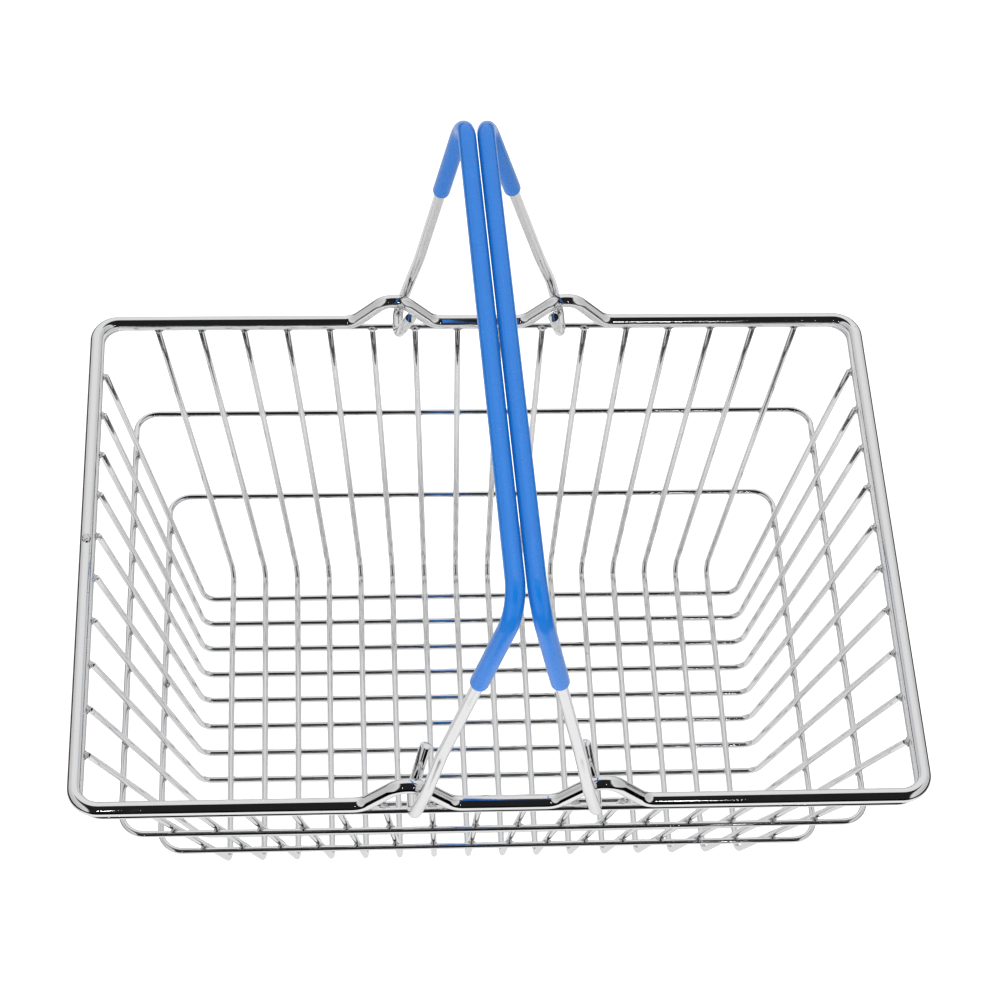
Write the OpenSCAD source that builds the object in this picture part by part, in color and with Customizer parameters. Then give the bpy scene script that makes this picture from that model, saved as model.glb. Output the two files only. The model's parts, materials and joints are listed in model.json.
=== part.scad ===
// Welded wire shopping basket with two swinging carry handles.
// Frame: +X along the basket, +Y across it, +Z up. The origin is at the
// middle of the plane that the basket stands on.

/* [Rim] */
// Length of the rim, between wire centres
rim_l = 420; // [360:1:520]
// Width of the rim, between wire centres
rim_w = 302; // [252:1:380]
// Height of the rim wire's centre above the standing plane
rim_h = 169; // [136:1:220]
// Diameter of the rim wire
rim_d = 7.5; // [6:0.1:9]
// Bend radius at the corners of the rim and of the rings, to the wire's centre
corner_r = 12; // [9:0.5:20]

/* [Handle eyes] */
// Distance from the middle of the basket to the middle of each eye
eye_x = 47.5; // [40:0.5:60]
// Slope of the rim on both sides of an eye
eye_slope = 46.6; // [42:0.1:52]
// Length of straight wire at the top of an eye, between its two upper bends
eye_flat = 0.2; // [0.1:0.1:5]
// Height that the rim rises over an eye
eye_rise = 18; // [15:0.5:22]
// Bend radius in the raised part of the rim
eye_r = 11.5; // [9.5:0.5:13]

/* [Mesh] */
// Diameter of the mesh wires and of the three rings
wire_d = 3.4; // [2.8:0.1:4.2]
// Number of wires that run across the basket
cross_count = 16; // [10:1:18]
// Number of wires that run along the basket
long_count = 10; // [6:1:12]
// Distance from the rim's end to the outermost cross wire, at the rim
cross_rim_margin = 33; // [24:0.5:45]
// Distance from the floor's end to the outermost cross wire, on the floor
cross_floor_margin = 16.2; // [10:0.1:24]
// Distance from the rim's side to the outermost long wire, at the rim
long_rim_margin = 33.1; // [24:0.1:45]
// Distance from the floor's side to the outermost long wire, on the floor
long_floor_margin = 17; // [10:0.1:24]
// How far an end wall comes in, from the top ring to the floor
end_taper = 51.2; // [30:0.1:70]
// How far a side wall comes in, from the top ring to the floor
side_taper = 57.5; // [30:0.1:70]
// Bend radius of the mesh wires where wall meets floor
floor_r = 8; // [5:0.5:14]
// Depth of the middle ring below the rim's centre
middle_drop = 60; // [40:0.5:75]
// Depth of the lower ring below the rim's centre
lower_drop = 115; // [90:0.5:118]
// How far the top ring sits inboard of the rim's centre, at the ends
ring_end_inset = 2.3; // [1.5:0.1:3]
// How far the top ring sits outboard of the rim's centre, at the sides
ring_side_out = 1; // [0:0.1:1.5]

/* [Handles] */
// Diameter of the handle wire
handle_d = 6; // [5:0.1:7.2]
// Height of the grip's centre above the hinge axis, along the handle
handle_h = 174; // [145:0.5:209]
// How far a hook hangs from the middle of its eye, towards the middle of the basket
hook_shift = 2.5; // [0:0.5:4]
// Length of straight leg past the foot of the raised rim
leg_over = 2.5; // [1.5:0.5:6]
// Height at which a leg ends its slant, along the handle
kink_h = 54; // [50:0.5:70]
// How far a leg slants in below that height
kink_in = 5.5; // [2:0.5:8]
// How far a leg slants in above that height
grip_in = 6.3; // [0:0.1:15]
// How far both grips stand off towards -X at their +Y ends
grip_back = 9.5; // [0:0.1:10]
// How far both grips stand off towards +X at their -Y ends
grip_front = 2.5; // [0:0.1:10]
// Bend radius at both ends of the slant
kink_r = 40; // [25:1:60]
// Bend radius at the upper corners
grip_r = 16; // [12:0.5:22]
// Bend radius at each side of the hook
hook_r = 6; // [5:0.25:6.25]
// Extra room between the hook's cut end and the rim
tail_room = 1; // [0.5:0.25:4]
// Height of the hook's cut end above the hinge axis, along the handle
tail_h = 27; // [22:0.5:34]
// How far the hook's cut end leans inwards
tail_in = 10; // [0:0.5:14]

/* [Sleeves] */
// Outer diameter of the plastic sleeve
sleeve_d = 9.2; // [8.2:0.1:10.4]
// Length of sleeve on each leg, from the handle's upper corner
sleeve_leg = 61.5; // [40:0.5:80]
// Gap between the sleeve's bore and the handle wire
sleeve_gap = 0.05; // [0.02:0.01:0.1]

/* [Fits] */
// Depth to which crossing wires are welded into each other
weld = 0.3; // [0.1:0.05:0.4]
// Depth to which the top ring is welded into the rim wire
rim_weld = 0.1; // [0.05:0.05:0.2]
// Gap between a handle and the rim or ring that it swings on
swing_gap = 0.35; // [0.3:0.05:0.8]
// Gap between the two grips when they meet
grip_gap = 0.4; // [0.4:0.1:2]

/* [Hidden] */
$fn = 48;
// A bend is this much thicker than its straight runs, so it closes over their ends
bend_swell = 0.03;
// Length of straight run inside each bend
lap = 0.5;
// Height of the mesh wires' top ends above the top ring's centre
wire_tip = wire_d / 4;

chrome = "silver";
plastic = "royalblue";

// An eye's length, and the length of its top, to the corners of the wire's centre line
eye_top = 2 * eye_r * tan(eye_slope / 2) + eye_flat;
eye_span = eye_top + 2 * eye_rise / tan(eye_slope);

// Heights of the ring centres and of the wires on the floor
rim_ring_reach = (rim_d + wire_d) / 2 - rim_weld;
top_z = rim_h - sqrt(pow(rim_ring_reach, 2) - pow(ring_side_out, 2));
middle_z = rim_h - middle_drop;
lower_z = rim_h - lower_drop;
long_z = wire_d / 2;
cross_z = long_z + wire_d - weld;

// Half sizes of the top ring and of the floor, to the wires' centres
top_x = rim_l / 2 - ring_end_inset;
top_y = rim_w / 2 + ring_side_out;
floor_x = top_x - end_taper;
floor_y = top_y - side_taper;

// Spacing of the mesh wires at the rim and on the floor
cross_rim_gap = spacing(rim_l / 2 - cross_rim_margin, cross_count);
cross_floor_gap = spacing(floor_x - cross_floor_margin, cross_count);
long_rim_gap = spacing(rim_w / 2 - long_rim_margin, long_count);
long_floor_gap = spacing(floor_y - long_floor_margin, long_count);

// A wall wire touches the inner side of a ring, so its centre is one wire
// further in, measured square to the wire
touch = wire_d - weld;
end_slope = wall_slope(end_taper, top_z - long_z);
side_slope = wall_slope(side_taper, top_z - cross_z);
end_touch = touch / cos(end_slope);
side_touch = touch / cos(side_slope);

// Hinge axis of the handles: the hook lies on the top ring, and its leg and its
// cut end stand on either side of the rim
hinge_x = eye_x - hook_shift;
hinge_z = top_z + wire_d / 2 + swing_gap + handle_d / 2;
rim_side_gap = rim_d / 2 + swing_gap + handle_d / 2;
leg_y = rim_w / 2 + rim_side_gap;
tail_y = rim_w / 2 - rim_side_gap - tail_room;
lean = asin((hinge_x - (sleeve_d + grip_gap) / 2) / handle_h);

// A leg stays straight until it has passed the raised rim, at every angle of the handle
leg_h = eye_span / 2 + hook_shift + leg_over;
kink_y = leg_y - kink_in;
grip_y = kink_y - grip_in;

cross_names = [for (i = [1:cross_count]) str("cross_wire_", two_digits(i))];
long_names = [for (i = [1:long_count]) str("long_wire_", two_digits(i))];

function two_digits(i) = str(i < 10 ? "0" : "", i);

// Angle of a wall from upright, where its wire comes in by the reach given over the rise
// and stands one wire inside its ring
function wall_slope(reach, rise) =
    let (far = norm([reach, rise]))
    atan(reach / rise) - asin(touch / far);

function unit(v) = v / norm(v);

// Angle between two directions
function turn(u, v) = acos(max(-1, min(1, u * v)));

// Length of each straight run that a bend takes up
function bend_take(u, v, r) = r * tan(turn(u, v) / 2);

// Gap between the wires of a row of n, whose outermost ones stand at half on both sides
function spacing(half, n) = 2 * half / (n - 1);

// Place of wire number i of a row of n, as a number of gaps from the middle
function row_place(i, n) = i - (n + 1) / 2;

// Half sizes of a ring that lies outside the wall wires at the height given
function ring_half(z) = [
    floor_x + (z - long_z) * tan(end_slope) + end_touch,
    floor_y + (z - cross_z) * tan(side_slope) + side_touch
];

// Straight round wire between two points
module straight_run(a, b, d) {
    s = b - a;
    translate(a)
        rotate([0, acos(s.z / norm(s)), atan2(s.y, s.x)])
            cylinder(d = d, h = norm(s));
}

// Round bend at a corner point, from direction u to direction v
module bend(corner, u, v, r, d) {
    side = unit(v - (u * v) * u);
    centre = corner - u * bend_take(u, v, r) + side * r;
    up = cross(-side, u);
    multmatrix([
        [-side.x, u.x, up.x, centre.x],
        [-side.y, u.y, up.y, centre.y],
        [-side.z, u.z, up.z, centre.z]
    ])
        rotate_extrude(angle = turn(u, v))
            translate([r, 0])
                circle(d = d + bend_swell);
}

// Round wire along a list of corner points, with a bend radius for each one
module bent_wire(points, radii, d, closed = false) {
    n = len(points);
    dirs = [for (i = [0:n - 1]) unit(points[(i + 1) % n] - points[i])];
    bent = [for (i = [0:n - 1]) closed || (i > 0 && i < n - 1)];
    takes = [for (i = [0:n - 1]) bent[i] ? bend_take(dirs[(i + n - 1) % n], dirs[i], radii[i]) - lap : 0];
    for (i = [0:closed ? n - 1 : n - 2]) {
        j = (i + 1) % n;
        straight_run(points[i] + dirs[i] * takes[i], points[j] - dirs[i] * takes[j], d);
    }
    for (i = [0:n - 1])
        if (bent[i])
            bend(points[i], dirs[(i + n - 1) % n], dirs[i], radii[i], d);
}

// Closed level ring with rounded corners
module ring(half, z) {
    x = half[0];
    y = half[1];
    corners = [[x, y, z], [-x, y, z], [-x, -y, z], [x, -y, z]];
    bent_wire(corners, [for (c = corners) corner_r], wire_d, closed = true);
}

// Corner points of one side of the rim, at +Y, from +X to -X
function rim_side() = [
    [rim_l / 2, rim_w / 2, rim_h],
    for (s = [1, -1]) each [
        [s * eye_x + eye_span / 2, rim_w / 2, rim_h],
        [s * eye_x + eye_top / 2, rim_w / 2, rim_h + eye_rise],
        [s * eye_x - eye_top / 2, rim_w / 2, rim_h + eye_rise],
        [s * eye_x - eye_span / 2, rim_w / 2, rim_h]
    ],
    [-rim_l / 2, rim_w / 2, rim_h]
];

module rim_wire() {
    side = rim_side();
    last = len(side) - 1;
    side_radii = [for (i = [0:last]) i == 0 || i == last ? corner_r : eye_r];
    color(chrome)
        bent_wire(
            concat(side, [for (p = side) [-p.x, -p.y, p.z]]),
            concat(side_radii, side_radii),
            rim_d,
            closed = true
        );
}

module top_ring() {
    color(chrome)
        ring([top_x, top_y], top_z);
}

module middle_ring() {
    color(chrome)
        ring(ring_half(middle_z), middle_z);
}

module lower_ring() {
    color(chrome)
        ring(ring_half(lower_z), lower_z);
}

// Point where a wall wire ends: the wall line through foot and head, run on
// past the top ring's centre
function wire_end(foot, head) = head + (head - foot) * wire_tip / (head.z - foot.z);

module cross_wire(i) {
    place = row_place(i, cross_count);
    foot = [place * cross_floor_gap, floor_y, cross_z];
    head = [place * cross_rim_gap, top_y - side_touch, top_z];
    tip = wire_end(foot, head);
    color(chrome)
        bent_wire(
            [tip, foot, [foot.x, -foot.y, foot.z], [tip.x, -tip.y, tip.z]],
            [0, floor_r, floor_r, 0],
            wire_d
        );
}

module long_wire(i) {
    place = row_place(i, long_count);
    foot = [floor_x, place * long_floor_gap, long_z];
    head = [top_x - end_touch, place * long_rim_gap, top_z];
    tip = wire_end(foot, head);
    color(chrome)
        bent_wire(
            [tip, foot, [-foot.x, foot.y, foot.z], [-tip.x, tip.y, tip.z]],
            [0, floor_r, floor_r, 0],
            wire_d
        );
}

// Puts a handle drawn upright over the hinge axis in its place, leaning to the middle
module place_handle(s) {
    translate([s * hinge_x, 0, hinge_z])
        rotate([0, -s * lean, 0])
            children();
}

// Point on the leg of handle s at side e, moved along X with the offset of its grip's end,
// which is spread evenly over the leg above its straight foot
function leg_point(s, e, y, h) =
    let (offset = (e > 0 ? -grip_back : grip_front) * (h - leg_h) / (handle_h - leg_h))
    [offset * cos(lean), e * y, h - s * offset * sin(lean)];

// Corner points along half of handle s at side e: the hook, the leg and the grip's corner
function half_handle(s, e) = [
    [0, e * (tail_y - tail_in), tail_h],
    [0, e * tail_y, 0],
    [0, e * leg_y, 0],
    leg_point(s, e, leg_y, leg_h),
    leg_point(s, e, kink_y, kink_h),
    leg_point(s, e, grip_y, handle_h)
];

function reversed(list) = [for (i = [len(list) - 1:-1:0]) list[i]];

module handle_wire(s) {
    half_radii = [0, hook_r, hook_r, kink_r, kink_r, grip_r];
    color(chrome)
        place_handle(s)
            bent_wire(
                concat(half_handle(s, 1), reversed(half_handle(s, -1))),
                concat(half_radii, reversed(half_radii)),
                handle_d
            );
}

// Round bar that follows the grip and ends on both legs at the distance given from its corners
module grip_bar(s, leg, d) {
    near = leg_point(s, 1, grip_y, handle_h);
    far = leg_point(s, -1, grip_y, handle_h);
    near_down = unit(leg_point(s, 1, kink_y, kink_h) - near);
    far_down = unit(leg_point(s, -1, kink_y, kink_h) - far);
    bent_wire([near + near_down * leg, near, far, far + far_down * leg], [0, grip_r, grip_r, 0], d);
}

module handle_sleeve(s) {
    color(plastic)
        place_handle(s)
            difference() {
                grip_bar(s, sleeve_leg, sleeve_d);
                grip_bar(s, sleeve_leg + 1, handle_d + 2 * sleeve_gap);
            }
}

rim_wire();
top_ring();
middle_ring();
lower_ring();
for (i = [1:cross_count])
    cross_wire(i);
for (i = [1:long_count])
    long_wire(i);
handle_wire(-1);  // left_handle_wire
handle_sleeve(-1);  // left_handle_sleeve
handle_wire(1);  // right_handle_wire
handle_sleeve(1);  // right_handle_sleeve
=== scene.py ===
import json
import math
import random

import bpy
from mathutils import Matrix, Vector


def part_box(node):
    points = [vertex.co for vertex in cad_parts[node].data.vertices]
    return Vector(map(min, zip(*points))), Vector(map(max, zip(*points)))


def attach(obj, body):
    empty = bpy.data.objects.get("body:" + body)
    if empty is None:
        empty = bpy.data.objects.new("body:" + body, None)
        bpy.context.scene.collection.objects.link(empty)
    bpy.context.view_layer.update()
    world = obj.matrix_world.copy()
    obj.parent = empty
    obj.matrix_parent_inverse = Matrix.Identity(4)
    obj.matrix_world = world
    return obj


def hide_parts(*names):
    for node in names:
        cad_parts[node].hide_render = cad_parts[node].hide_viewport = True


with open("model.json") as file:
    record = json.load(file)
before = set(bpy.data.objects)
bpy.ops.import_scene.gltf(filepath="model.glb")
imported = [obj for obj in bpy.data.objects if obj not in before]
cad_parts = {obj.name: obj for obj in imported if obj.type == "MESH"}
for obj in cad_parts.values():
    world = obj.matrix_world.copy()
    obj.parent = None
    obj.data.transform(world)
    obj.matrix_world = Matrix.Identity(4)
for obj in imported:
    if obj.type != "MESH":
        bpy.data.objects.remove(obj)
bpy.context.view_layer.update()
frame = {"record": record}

# ---------------------------------------------------------------------------
# Driving sizes, in metres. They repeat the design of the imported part. The sizes
# and heights of the rim and the rings, and the hinges, are taken from the part
# itself below.
# ---------------------------------------------------------------------------
WIRE_R = 0.0017
RIM_R = 0.00375
HANDLE_R = 0.003
SLEEVE_R = 0.0046
SLEEVE_BORE_R = 0.00305

CORNER_R = 0.012
EYE_X = 0.0475
EYE_SLOPE = math.radians(46.6)
EYE_FLAT = 0.0002
EYE_R = 0.0115

CROSS_COUNT = 16
LONG_COUNT = 10
CROSS_RIM_MARGIN = 0.033
CROSS_FLOOR_MARGIN = 0.0162
LONG_RIM_MARGIN = 0.0331
LONG_FLOOR_MARGIN = 0.017
END_TAPER = 0.0512
SIDE_TAPER = 0.0575
FLOOR_R = 0.008
WELD = 0.0003

HANDLE_H = 0.174
LEG_OVER = 0.0025
KINK_H = 0.054
KINK_IN = 0.0055
GRIP_IN = 0.0063
GRIP_BACK = 0.0095
GRIP_FRONT = 0.0025
KINK_R = 0.040
GRIP_R = 0.016
HOOK_R = 0.006
TAIL_H = 0.027
TAIL_IN = 0.010
TAIL_ROOM = 0.001
SWING_GAP = 0.00035
GRIP_GAP = 0.0004
SLEEVE_LEG = 0.0615

# Visual finish: how finely the wires are turned, how far from straight they are, and
# how close two vertices of a seam lie
MESH_SIDES = 16
RIM_SIDES = 32
HANDLE_SIDES = 28
BEND_STEP = math.radians(9)
BOW_STEP = 0.022
MESH_BOW = 0.00035
MERGE_DISTANCE = 0.000004
# Below this angle a corner needs no bend, and above this upward share a run counts as upright
NO_BEND = 1e-4
UPRIGHT = 0.9

# Weld metal: length along the wire, width and thickness of each lump
TOP_RING_NUGGET = (0.0048, 0.0032, 0.0030)
LOWER_RING_NUGGET = (0.0042, 0.0034, 0.0020)
FLOOR_NUGGET = (0.0040, 0.0040, 0.0012)
RIM_BEAD = (0.0060, 0.0042, 0.0010)
RING_BEAD = (0.0052, 0.0036, 0.0016)
# Where along the -X end each closed wire was joined, how high each bead stands on its
# wire, as a share of the wire's radius, and which way the beads of the rings face
RIM_BEAD_Y = 0.006
MIDDLE_BEAD_Y = -0.080
LOWER_BEAD_Y = -0.012
RIM_BEAD_LIFT = 0.93
RING_BEAD_LIFT = 0.9
RING_BEAD_OUT = (0.5, 0, 0.87)
# The loose nugget: how uneven it is, where its two ends begin, how they are drawn out,
# and how much its copies differ in size and turn on the floor
NUGGET_UNEVEN = 0.09
NUGGET_END = 0.32
NUGGET_END_SHAPE = (1.12, 0.72, 0.86)
NUGGET_SPREAD = 0.1
NUGGET_TURN = 0.3

# How the wires' cut ends and the sleeves' ends are rounded
MESH_END_ROUND = 0.0004
HANDLE_END_ROUND = 0.0006
SHOULDER_LENGTH = 0.0024
SHOULDER_STEPS = 7

UP = Vector((0, 0, 1))
BASKET_MIDDLE = Vector((0, 0, 0.15))
luck = random.Random(11)


# ---------------------------------------------------------------------------
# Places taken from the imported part
# ---------------------------------------------------------------------------
def ring_centre_line(node, radius):
    """Half length, half width and height of a ring's centre line, from its node's box."""
    low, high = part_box(node)
    return high.x - radius, high.y - radius, low.z + radius


rim_x, rim_y, rim_z = ring_centre_line("rim_wire", RIM_R)
top_x, top_y, top_z = ring_centre_line("top_ring", WIRE_R)
rim_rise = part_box("rim_wire")[1].z - RIM_R - rim_z
eye_top = 2 * EYE_R * math.tan(EYE_SLOPE / 2) + EYE_FLAT
eye_span = eye_top + 2 * rim_rise / math.tan(EYE_SLOPE)
floor_x = top_x - END_TAPER
floor_y = top_y - SIDE_TAPER
long_z = WIRE_R
cross_z = long_z + 2 * WIRE_R - WELD

hinges = {j["child"]: Vector(j["pos_m"]) for j in frame["record"]["behaviour"]["joints"]}
hinge = hinges["right_handle"]
lean = math.asin((hinge.x - SLEEVE_R - GRIP_GAP / 2) / HANDLE_H)
leg_h = eye_span / 2 + EYE_X - hinge.x + LEG_OVER


# ---------------------------------------------------------------------------
# Hand work on meshes
# ---------------------------------------------------------------------------
def clear_selection():
    if bpy.context.object and bpy.context.object.mode != "OBJECT":
        bpy.ops.object.mode_set(mode="OBJECT")
    bpy.ops.object.select_all(action="DESELECT")


def into_edit():
    bpy.ops.object.mode_set(mode="EDIT")
    bpy.ops.mesh.select_all(action="SELECT")


def out_of_edit():
    bpy.ops.object.mode_set(mode="OBJECT")
    return bpy.context.object


def start_ring(place, direction, radius, sides):
    """An open ring of vertices square to the direction, selected in edit mode."""
    clear_selection()
    bpy.ops.mesh.primitive_circle_add(
        vertices=sides,
        radius=radius,
        fill_type="NOTHING",
        location=place,
        rotation=direction.to_track_quat("Z", "Y").to_euler(),
    )
    bpy.ops.object.transform_apply(location=True, rotation=True, scale=True)
    into_edit()


def draw_on(step, swell=1.0, about=None):
    """Carries the selected ring one step further, and may swell or shrink it there."""
    bpy.ops.mesh.extrude_region_move(TRANSFORM_OT_translate={"value": step})
    if swell != 1.0:
        bpy.ops.transform.resize(value=(swell,) * 3, center_override=about)


def draw_straight(run, bow=0.0):
    """A straight run, or a very slightly bowed one in short steps."""
    steps = max(1, round(run.length / BOW_STEP)) if bow else 1
    square = run.cross(UP if abs(run.normalized().z) < UPRIGHT else Vector((1, 0, 0)))
    aside = square.normalized() * bow
    for k in range(steps):
        before = math.sin(math.pi * k / steps)
        after = math.sin(math.pi * (k + 1) / steps)
        draw_on(run / steps + aside * (after - before))


def draw_bend(centre, axis, angle):
    """A round bend, in steps of at most BEND_STEP."""
    bpy.ops.mesh.spin(
        steps=max(2, math.ceil(angle / BEND_STEP)),
        angle=angle,
        center=centre,
        axis=-axis,
    )


def route(corners, radii):
    """The straight runs and bends that lead round the corners, in order."""
    heads = [(b - a).normalized() for a, b in zip(corners, corners[1:])]
    legs = []
    here = corners[0]
    for corner, radius, u, v in zip(corners[1:-1], radii[1:-1], heads, heads[1:]):
        angle = u.angle(v)
        if angle < NO_BEND:
            continue
        take = radius * math.tan(angle / 2)
        inward = (v - u * u.dot(v)).normalized()
        legs.append(("run", corner - u * take - here))
        legs.append(("bend", corner - u * take + inward * radius, u.cross(inward), angle))
        here = corner + v * take
    legs.append(("run", corners[-1] - here))
    return legs


def follow(legs, bow=0.0):
    """Draws the legs of a route, each straight run bowed by a random share of the bow."""
    for leg in legs:
        if leg[0] == "run":
            draw_straight(leg[1], bow * luck.uniform(-1, 1))
        else:
            draw_bend(*leg[1:])


def close_and_round_ends(round_off):
    """Caps both cut ends of the wire and breaks their sharp edges."""
    bpy.ops.mesh.select_all(action="DESELECT")
    bpy.ops.mesh.select_mode(type="EDGE")
    bpy.ops.mesh.select_non_manifold(extend=False)
    bpy.ops.mesh.fill_holes(sides=0)
    bpy.ops.mesh.bevel(offset=round_off, segments=2, profile=0.5, affect="EDGES")


def finish_mesh(name, sharp=40):
    """Merges the seams, turns the faces outward, smooths them and names the piece."""
    bpy.ops.mesh.select_all(action="SELECT")
    bpy.ops.mesh.remove_doubles(threshold=MERGE_DISTANCE)
    bpy.ops.mesh.normals_make_consistent(inside=False)
    piece = out_of_edit()
    bpy.ops.object.shade_smooth_by_angle(angle=math.radians(sharp))
    piece.name = name
    piece.data.name = name
    return piece


def bent_wire(name, corners, radii, radius, sides, bow=0.0, round_off=MESH_END_ROUND):
    """A round wire with two cut ends."""
    corners = [Vector(c) for c in corners]
    start_ring(corners[0], corners[1] - corners[0], radius, sides)
    follow(route(corners, radii), bow)
    close_and_round_ends(round_off)
    return finish_mesh(name)


def closed_wire(name, corners, radii, radius, sides, bow=0.0):
    """A round wire whose ends are joined, half way along the side before the first corner."""
    corners = [Vector(c) for c in corners]
    seam = (corners[0] + corners[-1]) / 2
    line = [seam] + corners + [seam]
    start_ring(seam, corners[0] - seam, radius, sides)
    follow(route(line, [0] + list(radii) + [0]), bow)
    return finish_mesh(name)


def copy_piece(piece, name, place):
    """A copy with its own mesh, turned or moved by the place matrix."""
    clear_selection()
    piece.select_set(True)
    bpy.context.view_layer.objects.active = piece
    bpy.ops.object.duplicate(linked=False)
    copy = bpy.context.object
    copy.name = name
    copy.data.name = name
    copy.matrix_world = place
    bpy.ops.object.transform_apply(location=True, rotation=True, scale=True)
    return copy


def join_pieces(pieces, name):
    clear_selection()
    for piece in pieces:
        piece.select_set(True)
    bpy.context.view_layer.objects.active = pieces[0]
    bpy.ops.object.join()
    joined = bpy.context.object
    joined.name = name
    joined.data.name = name
    return joined


def remove_piece(piece):
    clear_selection()
    piece.select_set(True)
    bpy.ops.object.delete()


def place_on(piece, body, slot, material, *nodes):
    """Hands a finished piece over to its body, gives it its material and hides the nodes that it stands
    for. The slot argument is not used.
    """
    piece.data.materials.clear()
    piece.data.materials.append(material)
    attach(piece, body)
    if nodes:
        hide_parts(*nodes)


# ---------------------------------------------------------------------------
# Finishes
# ---------------------------------------------------------------------------
# Noise values between which a surface turns hazy, and between which specks appear
HAZE_FROM, HAZE_TO = 0.38, 0.68
SPECKS_FROM, SPECKS_TO = 0.56, 0.66


def new_group(name, inputs, outputs):
    group = bpy.data.node_groups.new(name, "ShaderNodeTree")
    for label, value in inputs:
        socket = group.interface.new_socket(name=label, in_out="INPUT", socket_type="NodeSocketFloat")
        socket.default_value = value
    for label in outputs:
        group.interface.new_socket(name=label, in_out="OUTPUT", socket_type="NodeSocketFloat")
    return group, group.nodes.new("NodeGroupInput"), group.nodes.new("NodeGroupOutput")


def add_noise(tree, scale_socket, detail, roughness):
    """Noise on the object's own coordinates, at the scale given by a socket or a number."""
    where = tree.nodes.new("ShaderNodeTexCoord")
    noise = tree.nodes.new("ShaderNodeTexNoise")
    noise.inputs["Detail"].default_value = detail
    noise.inputs["Roughness"].default_value = roughness
    tree.links.new(where.outputs["Object"], noise.inputs["Vector"])
    if isinstance(scale_socket, (int, float)):
        noise.inputs["Scale"].default_value = scale_socket
    else:
        tree.links.new(scale_socket, noise.inputs["Scale"])
    return noise


def add_range(tree, value, low, high, to_low, to_high):
    """Eases the value from one range to another. Each limit is a number or a socket."""
    node = tree.nodes.new("ShaderNodeMapRange")
    node.interpolation_type = "SMOOTHSTEP"
    for label, number in (("From Min", low), ("From Max", high), ("To Min", to_low), ("To Max", to_high)):
        if isinstance(number, (int, float)):
            node.inputs[label].default_value = number
        else:
            tree.links.new(number, node.inputs[label])
    tree.links.new(value, node.inputs["Value"])
    return node.outputs["Result"]


def add_math(tree, operation, a, b):
    node = tree.nodes.new("ShaderNodeMath")
    node.operation = operation
    for socket, value in zip(node.inputs, (a, b)):
        if isinstance(value, (int, float)):
            socket.default_value = value
        else:
            tree.links.new(value, socket)
    return node.outputs[0]


def make_haze_group():
    """Patches where a surface is a little duller than elsewhere."""
    group, given, result = new_group(
        "haze_patches",
        [("Patch Scale", 60.0), ("Clean Roughness", 0.05), ("Hazy Roughness", 0.15)],
        ["Roughness"],
    )
    patches = add_noise(group, given.outputs["Patch Scale"], detail=5, roughness=0.6)
    spread = add_range(
        group,
        patches.outputs["Fac"],
        HAZE_FROM,
        HAZE_TO,
        given.outputs["Clean Roughness"],
        given.outputs["Hazy Roughness"],
    )
    group.links.new(spread, result.inputs["Roughness"])
    return group


def make_waviness_group():
    """Slow waves left by drawing and bending, under a fine grain."""
    group, given, result = new_group(
        "drawn_waviness",
        [("Wave Scale", 45.0), ("Grain Scale", 2600.0), ("Grain Share", 0.05)],
        ["Height"],
    )
    waves = add_noise(group, given.outputs["Wave Scale"], detail=2, roughness=0.45)
    grain = add_noise(group, given.outputs["Grain Scale"], detail=3, roughness=0.5)
    share = add_math(group, "MULTIPLY", grain.outputs["Fac"], given.outputs["Grain Share"])
    group.links.new(add_math(group, "ADD", waves.outputs["Fac"], share), result.inputs["Height"])
    return group


def make_speck_group():
    """Small scattered specks: pits in plating, or dust on plastic."""
    group, given, result = new_group(
        "scattered_specks",
        [("Speck Scale", 260.0), ("Speck Size", 0.1)],
        ["Mask"],
    )
    where = group.nodes.new("ShaderNodeTexCoord")
    cells = group.nodes.new("ShaderNodeTexVoronoi")
    group.links.new(where.outputs["Object"], cells.inputs["Vector"])
    group.links.new(given.outputs["Speck Scale"], cells.inputs["Scale"])
    near = add_range(group, cells.outputs["Distance"], 0.0, given.outputs["Speck Size"], 1.0, 0.0)
    rare = add_noise(group, given.outputs["Speck Scale"], detail=1, roughness=0.5)
    some = add_range(group, rare.outputs["Fac"], SPECKS_FROM, SPECKS_TO, 0.0, 1.0)
    group.links.new(add_math(group, "MULTIPLY", near, some), result.inputs["Mask"])
    return group


haze_patches = make_haze_group()
drawn_waviness = make_waviness_group()
scattered_specks = make_speck_group()


def new_material(name):
    material = bpy.data.materials.new(name)
    material.use_nodes = True
    tree = material.node_tree
    return material, tree, tree.nodes["Principled BSDF"]


def use_group(tree, group, **values):
    node = tree.nodes.new("ShaderNodeGroup")
    node.node_tree = group
    for label, value in values.items():
        node.inputs[label.replace("_", " ")].default_value = value
    return node


def mix_colours(tree, mask, plain, marked):
    """The plain colour where the mask is 0 and the marked one where it is 1."""
    mix = tree.nodes.new("ShaderNodeMix")
    mix.data_type = "RGBA"
    tree.links.new(mask, mix.inputs["Factor"])
    for label, colour in (("A", plain), ("B", marked)):
        socket = [s for s in mix.inputs if s.name == label and s.type == "RGBA"][0]
        if isinstance(colour, tuple):
            socket.default_value = (*colour, 1)
        else:
            tree.links.new(colour, socket)
    return [s for s in mix.outputs if s.type == "RGBA"][0]


def raise_surface(tree, shader, height, distance):
    bump = tree.nodes.new("ShaderNodeBump")
    bump.inputs["Distance"].default_value = distance
    bump.inputs["Strength"].default_value = 1.0
    tree.links.new(height, bump.inputs["Height"])
    tree.links.new(bump.outputs["Normal"], shader.inputs["Normal"])


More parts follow.
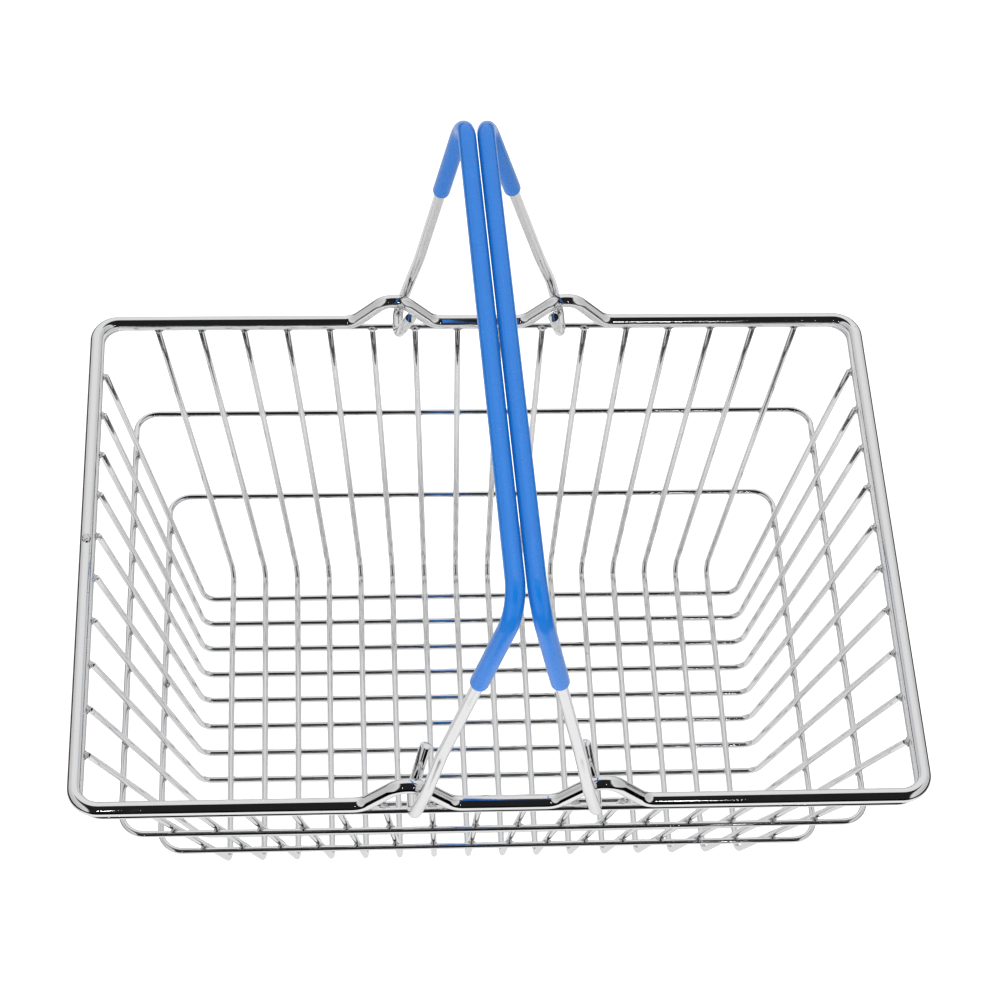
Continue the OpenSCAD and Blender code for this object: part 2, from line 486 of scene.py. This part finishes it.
def chrome_plate(name, bright, dull, clean, hazy, wave_scale, wave_height):
    """Bright chrome over drawn steel, with faint haze, waves and a few pits."""
    material, tree, shader = new_material(name)
    shader.inputs["Metallic"].default_value = 1
    haze = use_group(tree, haze_patches, Patch_Scale=70, Clean_Roughness=clean, Hazy_Roughness=hazy)
    waves = use_group(tree, drawn_waviness, Wave_Scale=wave_scale, Grain_Scale=2600, Grain_Share=0.015)
    pits = use_group(tree, scattered_specks, Speck_Scale=190, Speck_Size=0.13)
    tree.links.new(haze.outputs["Roughness"], shader.inputs["Roughness"])
    tree.links.new(mix_colours(tree, pits.outputs["Mask"], bright, dull), shader.inputs["Base Color"])
    raise_surface(tree, shader, waves.outputs["Height"], wave_height)
    return material


def soft_vinyl(name, colour, deep, dust):
    """Smooth dipped vinyl: even colour with slow mottling, a soft shine and a little dust."""
    material, tree, shader = new_material(name)
    shader.inputs["IOR"].default_value = 1.46
    shader.inputs["Coat Weight"].default_value = 0.35
    shader.inputs["Coat Roughness"].default_value = 0.04
    mottle = add_noise(tree, 55, detail=3, roughness=0.5)
    mottled = mix_colours(tree, mottle.outputs["Fac"], colour, deep)
    specks = use_group(tree, scattered_specks, Speck_Scale=240, Speck_Size=0.09)
    haze = use_group(tree, haze_patches, Patch_Scale=90, Clean_Roughness=0.22, Hazy_Roughness=0.32)
    waves = use_group(tree, drawn_waviness, Wave_Scale=60, Grain_Scale=4200, Grain_Share=0.03)
    tree.links.new(mix_colours(tree, specks.outputs["Mask"], mottled, dust), shader.inputs["Base Color"])
    tree.links.new(haze.outputs["Roughness"], shader.inputs["Roughness"])
    raise_surface(tree, shader, waves.outputs["Height"], VINYL_WAVE_HEIGHT)
    return material


CHROME = (0.82, 0.82, 0.825)
HANDLE_CHROME = (0.82, 0.82, 0.82)
WELD_CHROME = (0.66, 0.66, 0.66)
PIT_GREY = (0.42, 0.41, 0.40)
HANDLE_PIT_GREY = (0.45, 0.44, 0.43)
WELD_PIT_GREY = (0.24, 0.23, 0.22)
VINYL_BLUE = (0.005, 0.155, 0.54)
VINYL_DEEP_BLUE = (0.004, 0.135, 0.49)
VINYL_DUST = (0.42, 0.52, 0.68)
VINYL_WAVE_HEIGHT = 0.00003

# Name, plate, pits, roughness where clean and where hazy, scale and height of the waves
mesh_chrome = chrome_plate("mesh_chrome", CHROME, PIT_GREY, 0.05, 0.13, 42, 0.00013)
rim_chrome = chrome_plate("rim_chrome", CHROME, PIT_GREY, 0.04, 0.10, 26, 0.00018)
handle_chrome = chrome_plate("handle_chrome", HANDLE_CHROME, HANDLE_PIT_GREY, 0.06, 0.16, 30, 0.00020)
weld_chrome = chrome_plate("weld_chrome", WELD_CHROME, WELD_PIT_GREY, 0.10, 0.30, 620, 0.00045)
blue_vinyl = soft_vinyl("blue_vinyl", VINYL_BLUE, VINYL_DEEP_BLUE, VINYL_DUST)


# ---------------------------------------------------------------------------
# The basket's wires
# ---------------------------------------------------------------------------
def wall_slope(reach, rise):
    """Angle of a wall from upright, where its wires stand one wire inside their rings."""
    return math.atan(reach / rise) - math.asin((2 * WIRE_R - WELD) / math.hypot(reach, rise))


end_slope = wall_slope(END_TAPER, top_z - long_z)
side_slope = wall_slope(SIDE_TAPER, top_z - cross_z)
end_touch = (2 * WIRE_R - WELD) / math.cos(end_slope)
side_touch = (2 * WIRE_R - WELD) / math.cos(side_slope)


def gap(half, count):
    """Spacing of a row of wires whose outermost ones stand at half on both sides."""
    return 2 * half / (count - 1)


def rim_side():
    """Corners of the rim's +Y side, over both eyes, from +X to -X."""
    corners = [Vector((rim_x, rim_y, rim_z))]
    for s in (1, -1):
        for along, height in ((eye_span, 0), (eye_top, rim_rise), (-eye_top, rim_rise), (-eye_span, 0)):
            corners.append(Vector((s * EYE_X + along / 2, rim_y, rim_z + height)))
    corners.append(Vector((-rim_x, rim_y, rim_z)))
    return corners


def half_turn(points):
    """The points turned half way round the basket's middle."""
    return [Vector((-p.x, -p.y, p.z)) for p in points]


def make_rim():
    side = rim_side()
    radii = [CORNER_R] + [EYE_R] * (len(side) - 2) + [CORNER_R]
    rim = closed_wire("rim_wire_plated", side + half_turn(side), radii * 2, RIM_R, RIM_SIDES)
    place_on(rim, "basket", "basket_wire", rim_chrome, "rim_wire")


def make_ring(node):
    x, y, z = ring_centre_line(node, WIRE_R)
    corners = [Vector((x, y, z)), Vector((-x, y, z)), Vector((-x, -y, z)), Vector((x, -y, z))]
    ring = closed_wire(node + "_plated", corners, [CORNER_R] * 4, WIRE_R, MESH_SIDES, MESH_BOW)
    place_on(ring, "basket", "basket_wire", mesh_chrome, node)


def cross_line(place):
    """Foot and head of a cross wire's +Y wall, on the wire's centre line."""
    floor_gap = gap(floor_x - CROSS_FLOOR_MARGIN, CROSS_COUNT)
    rim_gap = gap(rim_x - CROSS_RIM_MARGIN, CROSS_COUNT)
    foot = Vector((place * floor_gap, floor_y, cross_z))
    return foot, Vector((place * rim_gap, top_y - side_touch, top_z))


def long_line(place):
    """Foot and head of a long wire's +X wall, on the wire's centre line."""
    floor_gap = gap(floor_y - LONG_FLOOR_MARGIN, LONG_COUNT)
    rim_gap = gap(rim_y - LONG_RIM_MARGIN, LONG_COUNT)
    foot = Vector((floor_x, place * floor_gap, long_z))
    return foot, Vector((top_x - end_touch, place * rim_gap, top_z))


def at_height(line, z):
    """The point of a wall line at the height given."""
    foot, head = line
    return foot + (head - foot) * (z - foot.z) / (head.z - foot.z)


def flip(point, axis):
    """The point mirrored to the other side of the basket."""
    mirrored = point.copy()
    mirrored[axis] = -mirrored[axis]
    return mirrored


def make_mesh_wires(prefix, count, line_of, axis):
    """Wires that run down one wall, over the floor and up the other, mirrored across the axis given."""
    for i in range(count):
        foot, head = line_of(i - (count - 1) / 2)
        tip = at_height((foot, head), top_z + WIRE_R / 2)
        corners = [tip, foot, flip(foot, axis), flip(tip, axis)]
        node = f"{prefix}_{i + 1:02d}"
        wire = bent_wire(
            node + "_plated", corners, [0, FLOOR_R, FLOOR_R, 0], WIRE_R, MESH_SIDES, MESH_BOW
        )
        place_on(wire, "basket", "basket_wire", mesh_chrome, node)


# ---------------------------------------------------------------------------
# Weld nuggets: metal squeezed out where two wires were pressed together
# ---------------------------------------------------------------------------
def make_nugget():
    """One lump of squeezed-out metal, 1 unit across each way."""
    clear_selection()
    bpy.ops.mesh.primitive_ico_sphere_add(subdivisions=2, radius=0.5)
    into_edit()
    bpy.ops.transform.vertex_random(offset=NUGGET_UNEVEN, uniform=0.6, normal=0.4, seed=5)
    bpy.ops.mesh.select_all(action="DESELECT")
    piece = out_of_edit()
    for vertex in piece.data.vertices:
        vertex.select = abs(vertex.co.x) > NUGGET_END
    bpy.ops.object.mode_set(mode="EDIT")
    bpy.ops.mesh.select_mode(type="VERT")
    bpy.ops.transform.resize(value=NUGGET_END_SHAPE, center_override=(0, 0, 0))
    return finish_mesh("nugget", sharp=70)


def nugget_place(touch_point, along, out, size):
    """Stands a nugget at the touching point, wide along one wire and flat towards the other."""
    along = (along - out * along.dot(out)).normalized()
    up = out.cross(along)
    turn = Matrix((along, up, out)).transposed().to_4x4()
    sizes = [s * luck.uniform(1 - NUGGET_SPREAD, 1 + NUGGET_SPREAD) for s in size]
    return Matrix.Translation(touch_point) @ turn @ Matrix.Diagonal((*sizes, 1))


def wall_nuggets(nugget, line_of, count, axis, z, half, along, size):
    """Nuggets along one ring, on the two walls that the wires of one row climb."""
    made = []
    for i in range(count):
        line = line_of(i - (count - 1) / 2)
        wire = at_height(line, z)
        ring = wire.copy()
        ring[axis] = half
        out = (ring - wire).normalized()
        for flipped in (False, True):
            spot = (ring + wire) / 2
            towards = out.copy()
            if flipped:
                spot, towards = flip(spot, axis), flip(towards, axis)
            made.append(copy_piece(nugget, "nugget_copy", nugget_place(spot, along, towards, size)))
    return made


def make_ring_welds(nugget, node, size):
    x, y, z = ring_centre_line(node, WIRE_R)
    made = wall_nuggets(nugget, cross_line, CROSS_COUNT, 1, z, y, Vector((1, 0, 0)), size)
    made += wall_nuggets(nugget, long_line, LONG_COUNT, 0, z, x, Vector((0, 1, 0)), size)
    welds = join_pieces(made, node + "_welds")
    place_on(welds, "basket", "basket_wire", weld_chrome)


def make_floor_welds(nugget, size):
    made = []
    for i in range(CROSS_COUNT):
        x = cross_line(i - (CROSS_COUNT - 1) / 2)[0].x
        for j in range(LONG_COUNT):
            y = long_line(j - (LONG_COUNT - 1) / 2)[0].y
            spot = Vector((x, y, (long_z + cross_z) / 2))
            turn = Vector((1, luck.uniform(-NUGGET_TURN, NUGGET_TURN), 0))
            made.append(copy_piece(nugget, "nugget_copy", nugget_place(spot, turn, UP, size)))
    place_on(join_pieces(made, "floor_welds"), "basket", "basket_wire", weld_chrome)


def make_bead(nugget, name, spot, along, out, size):
    """A single bead of weld metal, where the ends of one wire were joined."""
    bead = copy_piece(nugget, name, nugget_place(spot, along, out, size))
    place_on(bead, "basket", "basket_wire", weld_chrome)


def make_beads(nugget):
    """The joints that close the rim wire and the two lower rings, all on the -X end."""
    along = Vector((0, 1, 0))
    spot = Vector((-rim_x, RIM_BEAD_Y, rim_z + RIM_R * RIM_BEAD_LIFT))
    make_bead(nugget, "rim_joint_bead", spot, along, UP, RIM_BEAD)
    for node, y in (("middle_ring", MIDDLE_BEAD_Y), ("lower_ring", LOWER_BEAD_Y)):
        x, _, z = ring_centre_line(node, WIRE_R)
        out = Vector(RING_BEAD_OUT)
        spot = Vector((-x, y, z)) + out * WIRE_R * RING_BEAD_LIFT
        make_bead(nugget, node + "_joint_bead", spot, along, out, RING_BEAD)


# ---------------------------------------------------------------------------
# Handles
# ---------------------------------------------------------------------------
leg_y = rim_y + RIM_R + SWING_GAP + HANDLE_R
tail_y = rim_y - RIM_R - SWING_GAP - HANDLE_R - TAIL_ROOM
kink_y = leg_y - KINK_IN
grip_y = kink_y - GRIP_IN


def leg_point(s, e, y, z):
    """A point of handle s (1 right, -1 left) on side e (1 at +Y, -1 at -Y), leant over its
    hinge. Above leg_h it takes its share of the offset of that end of the grip."""
    share = max(0, (z - leg_h) / (HANDLE_H - leg_h))
    offset = share * (-GRIP_BACK if e > 0 else GRIP_FRONT)
    hang = Matrix.Translation((s * hinge.x, 0, hinge.z)) @ Matrix.Rotation(-s * lean, 4, "Y")
    return hang @ Vector((0, e * y, z)) + Vector((offset, 0, 0))


def both_sides(s, points):
    """The points of handle s on the +Y side, followed by those on the -Y side the other way round."""
    plus_side = [leg_point(s, 1, y, z) for y, z in points]
    minus_side = [leg_point(s, -1, y, z) for y, z in reversed(points)]
    return plus_side + minus_side


def make_handle_wire(s, side):
    half = [
        (tail_y - TAIL_IN, TAIL_H),
        (tail_y, 0),
        (leg_y, 0),
        (leg_y, leg_h),
        (kink_y, KINK_H),
        (grip_y, HANDLE_H),
    ]
    radii = [0, HOOK_R, HOOK_R, KINK_R, KINK_R, GRIP_R]
    node = side + "_handle_wire"
    wire = bent_wire(
        node + "_plated",
        both_sides(s, half),
        radii + radii[::-1],
        HANDLE_R,
        HANDLE_SIDES,
        round_off=HANDLE_END_ROUND,
    )
    place_on(wire, side + "_handle", "handle_wire", handle_chrome, node)


def shoulder(heading, start, growing):
    """The rounded shoulder at a sleeve's end, in small steps between the bore and the outside."""
    wall = SLEEVE_R - SLEEVE_BORE_R
    turns = [math.pi / 2 * k / SHOULDER_STEPS for k in range(SHOULDER_STEPS + 1)]
    if not growing:
        turns = turns[::-1]
    profile = [(SHOULDER_LENGTH * (1 - math.cos(t)), SLEEVE_BORE_R + wall * math.sin(t)) for t in turns]
    here = start
    for (a, ra), (b, rb) in zip(profile, profile[1:]):
        step = heading * abs(b - a)
        here = here + step
        draw_on(step, rb / ra, about=here)
    return here


def make_sleeve(s, side):
    corners = both_sides(s, [(grip_y, HANDLE_H)])
    knees = both_sides(s, [(kink_y, KINK_H)])
    ends = [corner + (knee - corner).normalized() * SLEEVE_LEG for corner, knee in zip(corners, knees)]
    line = [ends[0], *corners, ends[1]]
    heading = (line[1] - line[0]).normalized()
    tail_heading = (line[3] - line[2]).normalized()
    start_ring(line[0], heading, SLEEVE_BORE_R, HANDLE_SIDES)
    shoulder(heading, line[0], growing=True)
    outside = [
        line[0] + heading * SHOULDER_LENGTH,
        line[1],
        line[2],
        line[3] - tail_heading * SHOULDER_LENGTH,
    ]
    follow(route(outside, [0, GRIP_R, GRIP_R, 0]))
    shoulder(tail_heading, outside[-1], growing=False)
    follow(route(line[::-1], [0, GRIP_R, GRIP_R, 0]))
    node = side + "_handle_sleeve"
    sleeve = finish_mesh(node + "_vinyl", sharp=60)
    place_on(sleeve, side + "_handle", "sleeve", blue_vinyl, node)


# ---------------------------------------------------------------------------
# The whole object
# ---------------------------------------------------------------------------
make_rim()
for ring_node in ("top_ring", "middle_ring", "lower_ring"):
    make_ring(ring_node)
make_mesh_wires("cross_wire", CROSS_COUNT, cross_line, 1)
make_mesh_wires("long_wire", LONG_COUNT, long_line, 0)

loose_nugget = make_nugget()
make_ring_welds(loose_nugget, "top_ring", TOP_RING_NUGGET)
make_ring_welds(loose_nugget, "middle_ring", LOWER_RING_NUGGET)
make_ring_welds(loose_nugget, "lower_ring", LOWER_RING_NUGGET)
make_floor_welds(loose_nugget, FLOOR_NUGGET)
make_beads(loose_nugget)
remove_piece(loose_nugget)

for s, side in ((1, "right"), (-1, "left")):
    make_handle_wire(s, side)
    make_sleeve(s, side)


# ---------------------------------------------------------------------------
# Studio: pale floor, a light room with a dark side behind the camera
# ---------------------------------------------------------------------------
# The pale sheet that chrome mirrors below the horizon: half width, reach to the front,
# widths of its soft edges, and its light at the back and near its front edge, with the
# places between which one fades into the other
SHEET_X = 0.42
SHEET_FRONT = 0.42
SHEET_EDGE = 0.08
SHEET_SIDE_EDGE = 0.12
SHEET_LIGHT = 0.80
SHEET_NEAR_LIGHT = 1.00
SHEET_FADE = (-0.30, -0.12)
FLOOR_HALF = 30.0
PAPER_WHITE = (0.86, 0.86, 0.86, 1)
PAPER_GLOW = 0.55
# The room: the Y and the X of the directions at which its dark side ends, its light
# there, and the light of its walls, from the middle to the sides
DARK_Y = (0.26, 0.34)
DARK_X = (0.40, 0.55)
DARK_LIGHT = 0.02
WALL_X = (0.3, 0.95)
WALL_LIGHT = (0.86, 0.62)
# Two small lamps that the chrome mirrors as glints
GLINT_SIZE = (0.04, 0.04)
GLINT_WATTS = 0.13


def ray_kind(tree, label):
    return tree.nodes.new("ShaderNodeLightPath").outputs[label]


def make_floor():
    """White paper to the eye, and a lit sheet with dark surroundings in what the chrome mirrors."""
    clear_selection()
    bpy.ops.mesh.primitive_grid_add(x_subdivisions=4, y_subdivisions=4, size=2 * FLOOR_HALF)
    floor = bpy.context.object
    floor.name = "studio_floor"
    material, tree, shader = new_material("floor_paper")
    output = tree.nodes["Material Output"]
    tree.nodes.remove(shader)
    paper = tree.nodes.new("ShaderNodeBsdfDiffuse")
    paper.inputs["Color"].default_value = PAPER_WHITE
    glow = tree.nodes.new("ShaderNodeEmission")
    glow.inputs["Strength"].default_value = PAPER_GLOW
    seen = tree.nodes.new("ShaderNodeAddShader")
    tree.links.new(paper.outputs[0], seen.inputs[0])
    tree.links.new(glow.outputs[0], seen.inputs[1])

    where = tree.nodes.new("ShaderNodeTexCoord")
    apart = tree.nodes.new("ShaderNodeSeparateXYZ")
    tree.links.new(where.outputs["Object"], apart.inputs[0])
    side = add_math(tree, "ABSOLUTE", apart.outputs["X"], 0)
    on_side = add_range(tree, side, SHEET_X, SHEET_X + SHEET_SIDE_EDGE, 1.0, 0.0)
    on_front = add_range(tree, apart.outputs["Y"], -SHEET_FRONT - SHEET_EDGE, -SHEET_FRONT, 0.0, 1.0)
    on_sheet = add_math(tree, "MULTIPLY", on_side, on_front)
    lit = add_range(tree, apart.outputs["Y"], *SHEET_FADE, SHEET_NEAR_LIGHT, SHEET_LIGHT)
    mirrored = tree.nodes.new("ShaderNodeEmission")
    tree.links.new(add_math(tree, "MULTIPLY", on_sheet, lit), mirrored.inputs["Strength"])

    mix = tree.nodes.new("ShaderNodeMixShader")
    tree.links.new(ray_kind(tree, "Is Glossy Ray"), mix.inputs["Fac"])
    tree.links.new(seen.outputs[0], mix.inputs[1])
    tree.links.new(mirrored.outputs[0], mix.inputs[2])
    tree.links.new(mix.outputs[0], output.inputs["Surface"])
    floor.data.materials.append(material)


def make_room():
    """A light room all round, dark on the side that the chrome mirrors back to the camera."""
    world = bpy.data.worlds.new("studio_room")
    bpy.context.scene.world = world
    world.use_nodes = True
    tree = world.node_tree
    background = tree.nodes["Background"]
    where = tree.nodes.new("ShaderNodeTexCoord")
    apart = tree.nodes.new("ShaderNodeSeparateXYZ")
    tree.links.new(where.outputs["Generated"], apart.inputs[0])
    sideways = add_math(tree, "ABSOLUTE", apart.outputs["X"], 0)
    front = add_range(tree, apart.outputs["Y"], *DARK_Y, 1.0, 0.0)
    narrow = add_range(tree, sideways, *DARK_X, 1.0, 0.0)
    dark = add_math(tree, "MULTIPLY", front, narrow)
    wall = add_range(tree, sideways, *WALL_X, *WALL_LIGHT)
    room = add_math(tree, "MULTIPLY", wall, add_range(tree, dark, 0, 1, 1.0, DARK_LIGHT))
    pale = ray_kind(tree, "Is Camera Ray")
    either = tree.nodes.new("ShaderNodeMix")
    either.data_type = "FLOAT"
    tree.links.new(pale, either.inputs["Factor"])
    tree.links.new(room, either.inputs["A"])
    either.inputs["B"].default_value = 1.0
    tree.links.new(either.outputs["Result"], background.inputs["Strength"])
    background.inputs["Color"].default_value = (1, 1, 1, 1)


def soft_light(name, place, size, watts, mirrored=False):
    """An area light that faces the basket, and may be hidden from what the chrome mirrors."""
    light = bpy.data.lights.new(name, "AREA")
    light.shape = "RECTANGLE"
    light.size, light.size_y = size
    light.energy = watts
    lamp = bpy.data.objects.new(name, light)
    bpy.context.scene.collection.objects.link(lamp)
    lamp.location = place
    lamp.rotation_euler = (BASKET_MIDDLE - Vector(place)).to_track_quat("-Z", "Y").to_euler()
    lamp.visible_glossy = mirrored
    lamp.visible_camera = False


def make_camera():
    camera = bpy.data.objects.new("camera", bpy.data.cameras.new("camera"))
    bpy.context.scene.collection.objects.link(camera)
    camera.location = (-0.0873, -0.7759, 1.3236)
    camera.rotation_euler = (0.6104, -0.0489, -0.0464)
    camera.data.sensor_width = 36
    camera.data.lens = 95.70
    camera.data.clip_end = 100
    bpy.context.scene.camera = camera


make_floor()
make_room()
soft_light("top_softbox", (0.1, 0.4, 1.9), (1.6, 1.2), 21)
soft_light("front_fill", (-0.3, -1.6, 1.2), (1.4, 1.2), 24)
soft_light("left_glint", (-0.42, -1.40, 1.00), GLINT_SIZE, GLINT_WATTS, mirrored=True)
soft_light("right_glint", (0.36, -1.40, 1.00), GLINT_SIZE, GLINT_WATTS, mirrored=True)
make_camera()
bpy.context.scene.view_settings.view_transform = "Standard"
